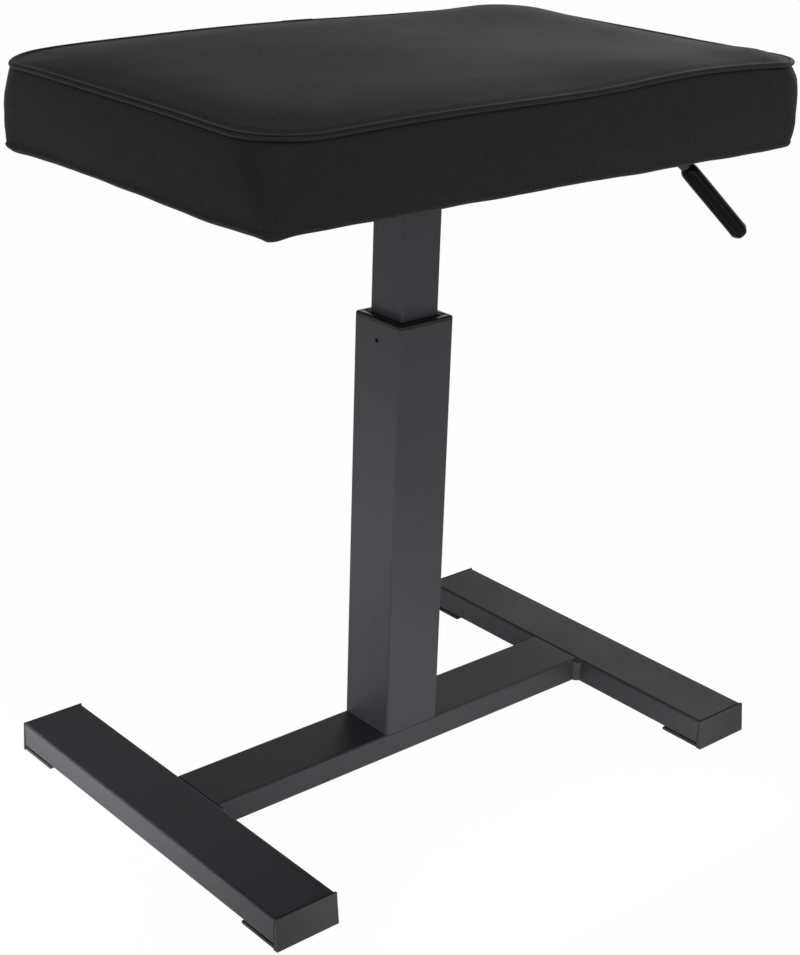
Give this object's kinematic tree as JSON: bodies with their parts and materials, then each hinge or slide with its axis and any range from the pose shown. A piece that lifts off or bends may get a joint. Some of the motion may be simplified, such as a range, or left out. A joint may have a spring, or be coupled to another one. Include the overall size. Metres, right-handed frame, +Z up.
{
  "type": "keyboard bench",
  "caption": "Height-adjustable keyboard bench: padded rectangular seat on a telescoping square column over an H-shaped tube base, with a release lever.",
  "frame": {"origin": "on the floor under the column's axis, at the middle of the base", "axes": "+X to the lever's side along the crossbar and the seat's long side, +Y from the front to the back, +Z up"},
  "size_m": [0.479, 0.321, 0.5315],
  "materials": {
    "frame_paint": "satin charcoal powder coat",
    "cap_rubber": "matt moulded rubber",
    "black_plastic": "moulded, glossy",
    "grip_plastic": "moulded, glossy",
    "zinc_steel": "zinc plated",
    "polished_rod": "ground and polished",
    "cylinder_paint": "black gloss paint",
    "black_vinyl": "matt upholstery vinyl, fine grain",
    "foam": "open-cell foam",
    "plywood": "bare plywood",
    "dust_cloth": "non-woven cloth"
  },
  "bodies": {
    "base": {"left_foot_tube": "frame_paint", "right_foot_tube": "frame_paint", "crossbar_tube": "frame_paint", "frame_weld_beads": "frame_paint", "front_left_foot_cap": "cap_rubber", "rear_left_foot_cap": "cap_rubber", "front_right_foot_cap": "cap_rubber", "rear_right_foot_cap": "cap_rubber", "column_tube": "frame_paint", "column_base_plate": "frame_paint", "column_bolts": "zinc_steel", "gas_rod_nut": "zinc_steel", "column_bushing": "black_plastic", "gas_rod": "polished_rod"},
    "seat": {"mast_tube": "frame_paint", "mast_glide": "black_plastic", "gas_cylinder": "cylinder_paint", "cylinder_hanger_plate": "frame_paint", "cylinder_neck_nut": "zinc_steel", "seat_plate": "frame_paint", "mast_weld_beads": "frame_paint", "lever_bracket": "frame_paint", "lever_pivot_pin": "zinc_steel", "pivot_clips": "zinc_steel", "seat_screws": "zinc_steel", "seat_board": "plywood", "seat_foam": "foam", "seat_side_band": "black_vinyl", "seat_top_panel": "black_vinyl", "seat_piping": "black_vinyl", "dust_cover": "dust_cloth"},
    "lever": {"lever_rod": "frame_paint", "lever_grip": "grip_plastic"},
    "valve": {"valve_pin": "polished_rod"}
  },
  "joints": [
    {"name": "seat_lift", "type": "slide", "parent": "base", "child": "seat", "axis": [0, 0, 1], "range_m": [-0.085, 0.035]},
    {"name": "lever_pull", "type": "hinge", "parent": "seat", "child": "lever", "pos_m": [0.034, 0, 0.451], "axis": [0, -1, 0], "range_deg": [0, 3.5], "stiffness_Nm_per_rad": 25},
    {"name": "valve_press", "type": "slide", "parent": "seat", "child": "valve", "axis": [0, 0, -1], "range_m": [0, 0.0021]}
  ],
  "couplings": [
    {"joint": "valve_press", "follows": "lever_pull", "m_per_rad": 0.034}
  ]
}
